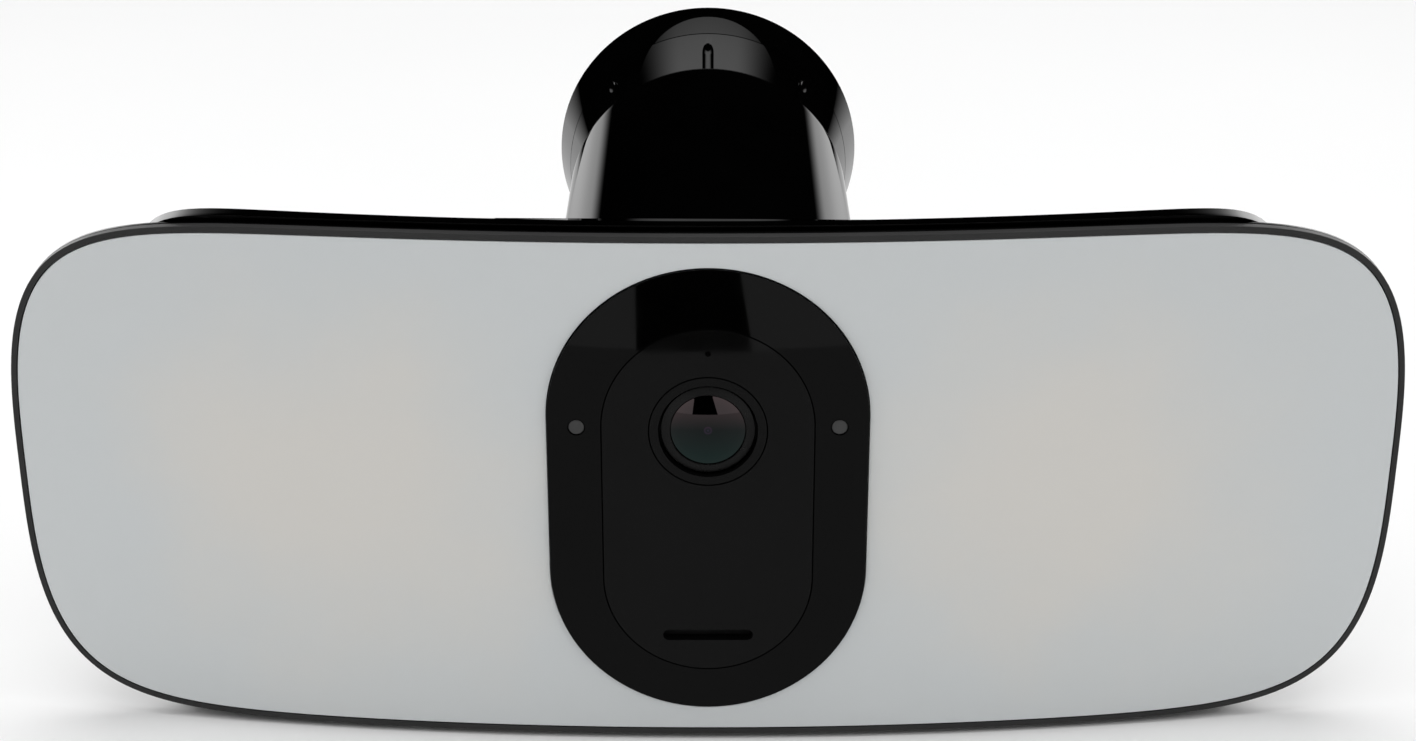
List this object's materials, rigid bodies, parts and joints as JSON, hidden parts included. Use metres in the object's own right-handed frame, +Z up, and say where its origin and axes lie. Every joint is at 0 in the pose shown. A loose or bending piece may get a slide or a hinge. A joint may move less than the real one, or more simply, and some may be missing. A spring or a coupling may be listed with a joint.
{
  "type": "floodlight security camera",
  "caption": "Wall floodlight with a wide swept light panel, a camera capsule at its centre and a battery housing behind, on a ball mount clamped by a lock ring.",
  "frame": {"origin": "centre of the wall plate's back face, which lies on the wall", "axes": "+Z up, +Y into the wall, -Y the way the camera looks, +X to the right of someone who faces the camera"},
  "size_m": [0.3746, 0.1153, 0.1755],
  "materials": {
    "gloss_black": "polished black moulded plastic",
    "trim_grey": "satin dark grey plastic",
    "diffuser_white": "milky translucent light diffuser with a fine matt surface",
    "face_black": "satin black plastic",
    "lens_black": "black anodised barrel face",
    "lens_glass": "coated glass with a green and pink sheen",
    "window_grey": "smoked grey window",
    "button_black": "satin black plastic",
    "steel": "zinc plated steel",
    "inner_black": "plain black moulding",
    "circuit_green": "solder-masked circuit board",
    "inner_white": "white reflective plastic and board",
    "aluminium": "mill finish sheet",
    "contact_brass": "plated contact brass",
    "port_rubber": "soft black rubber"
  },
  "bodies": {
    "mount": {"wall_plate": "steel", "mount_base": "gloss_black", "base_screw_1": "steel", "base_screw_2": "steel", "base_screw_3": "steel"},
    "ring": {"lock_ring": "gloss_black"},
    "liner": {"socket_liner": "inner_black"},
    "head": {"antenna_left": "contact_brass", "antenna_right": "contact_brass", "ball_stud": "steel", "battery_contacts": "contact_brass", "battery_housing": "gloss_black", "camera_tub": "inner_black", "capsule_cover": "gloss_black", "charge_socket": "inner_black", "face_plate": "face_black", "front_trim": "trim_grey", "heat_spreader_left": "aluminium", "heat_spreader_right": "aluminium", "infrared_lamp_left": "inner_black", "infrared_lamp_right": "inner_black", "lens_barrel": "lens_black", "lens_glass": "lens_glass", "lens_holder": "inner_black", "lens_ring": "face_black", "light_board_left": "inner_white", "light_board_right": "inner_white", "light_diffuser": "diffuser_white", "light_frame": "gloss_black", "light_reflector_left": "inner_white", "light_reflector_right": "inner_white", "main_board": "circuit_green", "microphone": "steel", "motion_sensor": "steel", "neck_screw_1": "steel", "neck_screw_2": "steel", "neck_screw_3": "steel", "neck_screw_4": "steel", "rear_shell": "gloss_black", "sensor_board": "circuit_green", "shell_screw_1": "steel", "shell_screw_2": "steel", "shell_screw_3": "steel", "shell_screw_4": "steel", "shield_can": "steel", "speaker_driver": "inner_black", "speaker_mesh": "inner_black", "status_window_left": "window_grey", "status_window_right": "window_grey", "stud_nut": "steel"},
    "battery": {"battery_hatch": "gloss_black", "battery_pack": "inner_black"},
    "release": {"release_button": "button_black"},
    "sync": {"sync_button": "button_black"},
    "port": {"port_cover": "port_rubber"}
  },
  "joints": [
    {"name": "ring_turn", "type": "hinge", "parent": "mount", "child": "ring", "pos_m": [0, -0.023, 0], "axis": [0, -1, 0], "range_deg": [0, 90]},
    {"name": "head_pan", "type": "hinge", "parent": "mount", "child": "liner", "pos_m": [0, -0.023, 0], "axis": [0, 0, 1], "range_deg": [-25, 25]},
    {"name": "head_tilt", "type": "hinge", "parent": "liner", "child": "head", "pos_m": [0, -0.023, 0], "axis": [1, 0, 0], "range_deg": [-25, 25]},
    {"name": "battery_slide", "type": "slide", "parent": "head", "child": "battery", "axis": [0, 0, -1], "range_m": [0, 0.065]},
    {"name": "release_press", "type": "slide", "parent": "head", "child": "release", "axis": [0, -1, 0], "range_m": [0, 0.0015], "stiffness_N_per_m": 400, "springref_m": -0.001},
    {"name": "sync_press", "type": "slide", "parent": "head", "child": "sync", "axis": [1, 0, 0], "range_m": [0, 0.0008], "stiffness_N_per_m": 400, "springref_m": -0.001},
    {"name": "port_open", "type": "hinge", "parent": "head", "child": "port", "pos_m": [0.04075, -0.0687, -0.0522], "axis": [0, 0, 1], "range_deg": [0, 110]}
  ]
}
